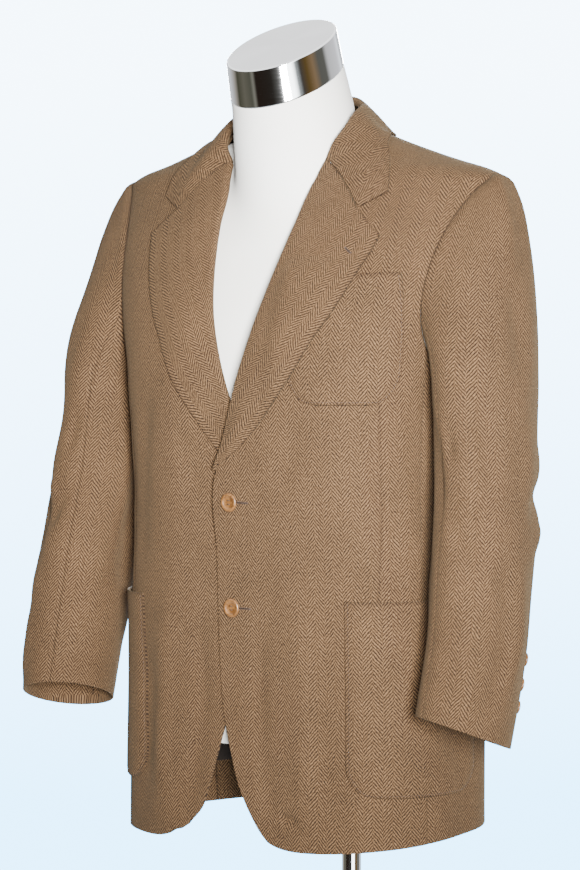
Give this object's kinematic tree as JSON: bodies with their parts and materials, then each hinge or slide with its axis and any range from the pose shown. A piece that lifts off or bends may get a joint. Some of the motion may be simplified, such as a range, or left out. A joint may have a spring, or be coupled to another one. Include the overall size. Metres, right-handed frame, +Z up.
{
  "type": "two-button tweed sport jacket on a limbless dress form",
  "caption": "Long-sleeved herringbone tweed sport jacket with wide notch lapels and patch pockets, worn by a white limbless dress form with a slanted metal neck cap on a pole and round base.",
  "frame": {"origin": "middle of the round base's underside, on the pole's axis", "axes": "+Z up; the jacket's front faces -Y; +X is the wearer's left"},
  "size_m": [0.6194, 0.4193, 1.5685],
  "materials": {
    "tweed": "woven wool herringbone, brown and tan, matte with a faint nap",
    "button": "horn-like resin, mottled tan, polished rim",
    "form_cover": "white stretch jersey over foam, matte",
    "cap_metal": "polished band with a lightly brushed top",
    "pole_metal": "polished tube",
    "base_metal": "polished plated plate"
  },
  "bodies": {
    "root": {"front_left": "tweed", "front_right": "tweed", "side_left": "tweed", "side_right": "tweed", "back_left": "tweed", "back_right": "tweed", "lapel_left": "tweed", "lapel_right": "tweed", "top_sleeve_left": "tweed", "top_sleeve_right": "tweed", "under_sleeve_left": "tweed", "under_sleeve_right": "tweed", "hip_pocket_left": "tweed", "hip_pocket_right": "tweed", "breast_pocket": "tweed", "collar": "tweed", "collar_stand": "tweed", "front_button_1": "button", "front_button_2": "button", "cuff_button_left_1": "button", "cuff_button_left_2": "button", "cuff_button_left_3": "button", "cuff_button_right_1": "button", "cuff_button_right_2": "button", "cuff_button_right_3": "button", "torso_form": "form_cover", "neck_cap": "cap_metal", "pole": "pole_metal", "base_plate": "base_metal"}
  },
  "joints": []
}
